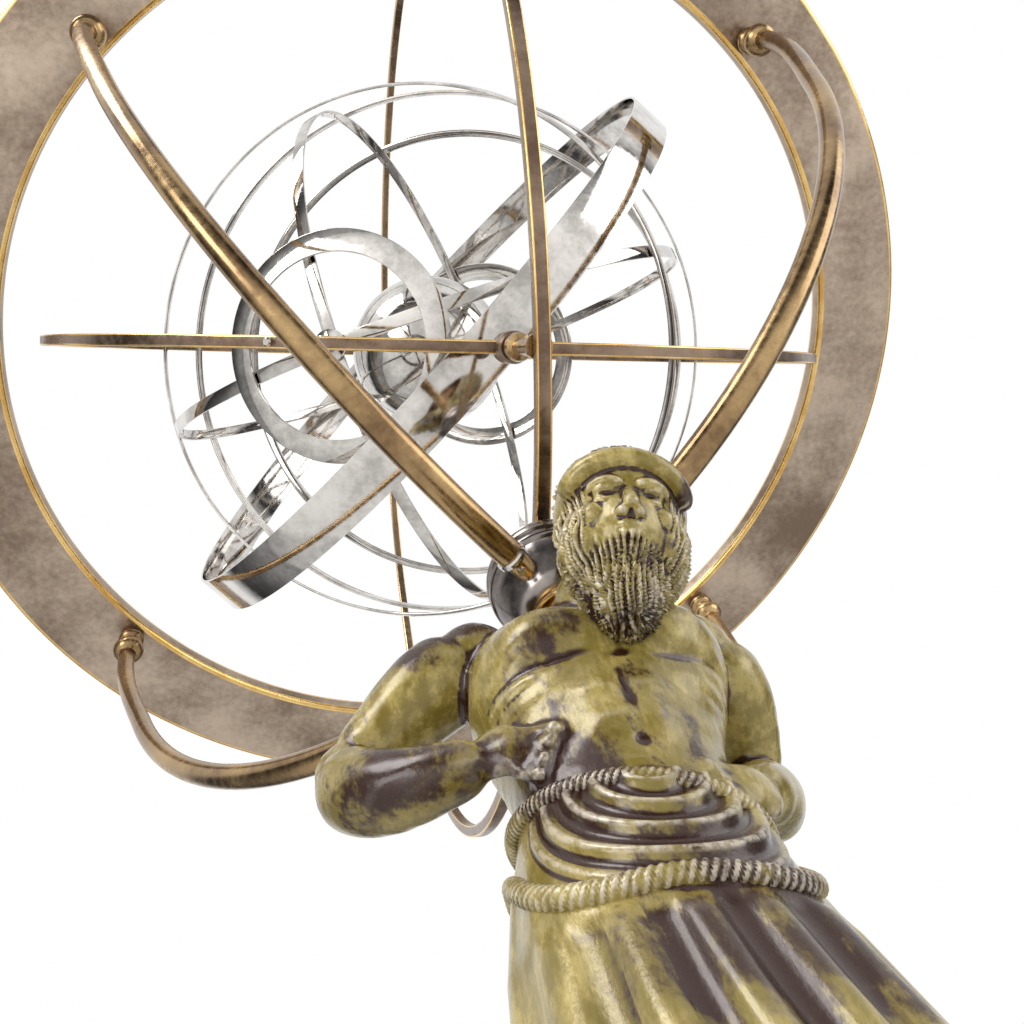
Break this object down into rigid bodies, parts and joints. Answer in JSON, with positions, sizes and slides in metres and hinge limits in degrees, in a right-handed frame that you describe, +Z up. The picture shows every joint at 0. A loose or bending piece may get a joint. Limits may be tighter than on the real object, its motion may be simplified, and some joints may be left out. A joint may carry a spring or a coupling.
{
  "type": "armillary sphere",
  "caption": "Table armillary sphere carried by a standing figure: horizon band on bowed arms, fixed and turning meridians, nickel sky rings with a zodiac band, and a small earth ball.",
  "frame": {"origin": "bottom centre of the plinth, on the vertical axis of the horizon band", "axes": "+Z up; the figure faces -Y; the fixed meridian lies in the YZ plane"},
  "size_m": [0.4796, 0.4796, 0.7722],
  "materials": {
    "antique_brass": "antiqued brass, rubbed bright along the tops",
    "brown_brass": "brown patinated brass with rubbed gold edges",
    "nickel": "polished nickel plate with fine scuffs",
    "pewter": "dark polished pewter plate",
    "verdigris": "glossy yellow-green patina over dark brown casting",
    "plinth_bronze": "dark brown patina over a casting"
  },
  "bodies": {
    "stand": {"plinth_foot": "plinth_bronze", "plinth_drum": "plinth_bronze", "figure_casting": "verdigris", "nape_stud": "antique_brass", "nape_cup": "antique_brass", "hub": "pewter", "horizon_band": "brown_brass", "fixed_meridian": "brown_brass", "pivot_peg_lower": "antique_brass", "pivot_peg_upper": "antique_brass", "arm_1": "antique_brass", "arm_2": "antique_brass", "arm_3": "antique_brass", "arm_4": "antique_brass", "arm_connector_1": "antique_brass", "arm_connector_2": "antique_brass", "arm_connector_3": "antique_brass", "arm_connector_4": "antique_brass", "arm_collar_1": "nickel", "arm_collar_2": "nickel", "arm_collar_3": "nickel", "arm_collar_4": "nickel", "set_screw_1": "nickel", "set_screw_2": "nickel", "set_screw_3": "nickel", "set_screw_4": "nickel"},
    "meridian_frame": {"turning_meridian": "brown_brass"},
    "celestial_sphere": {"equator": "nickel", "tropic_near": "nickel", "tropic_far": "nickel", "polar_ring_near": "nickel", "polar_ring_far": "nickel", "colure_outer": "nickel", "colure_inner": "nickel", "pole_pin_near": "nickel", "pole_pin_far": "nickel", "zodiac_band": "nickel", "zodiac_stud_near": "nickel", "zodiac_stud_far": "nickel", "earth_axle": "nickel"},
    "earth": {"earth_ball": "nickel"}
  },
  "joints": [
    {"name": "meridian_turn", "type": "hinge", "parent": "stand", "child": "meridian_frame", "pos_m": [0, 0, 0.55], "axis": [0, 0.279, 0.9603], "continuous": true},
    {"name": "sphere_turn", "type": "hinge", "parent": "meridian_frame", "child": "celestial_sphere", "pos_m": [0, 0, 0.55], "axis": [-0.4148, -0.2741, -0.8677], "continuous": true},
    {"name": "earth_turn", "type": "hinge", "parent": "celestial_sphere", "child": "earth", "pos_m": [0, 0, 0.55], "axis": [-0.4148, -0.2741, -0.8677], "continuous": true}
  ]
}
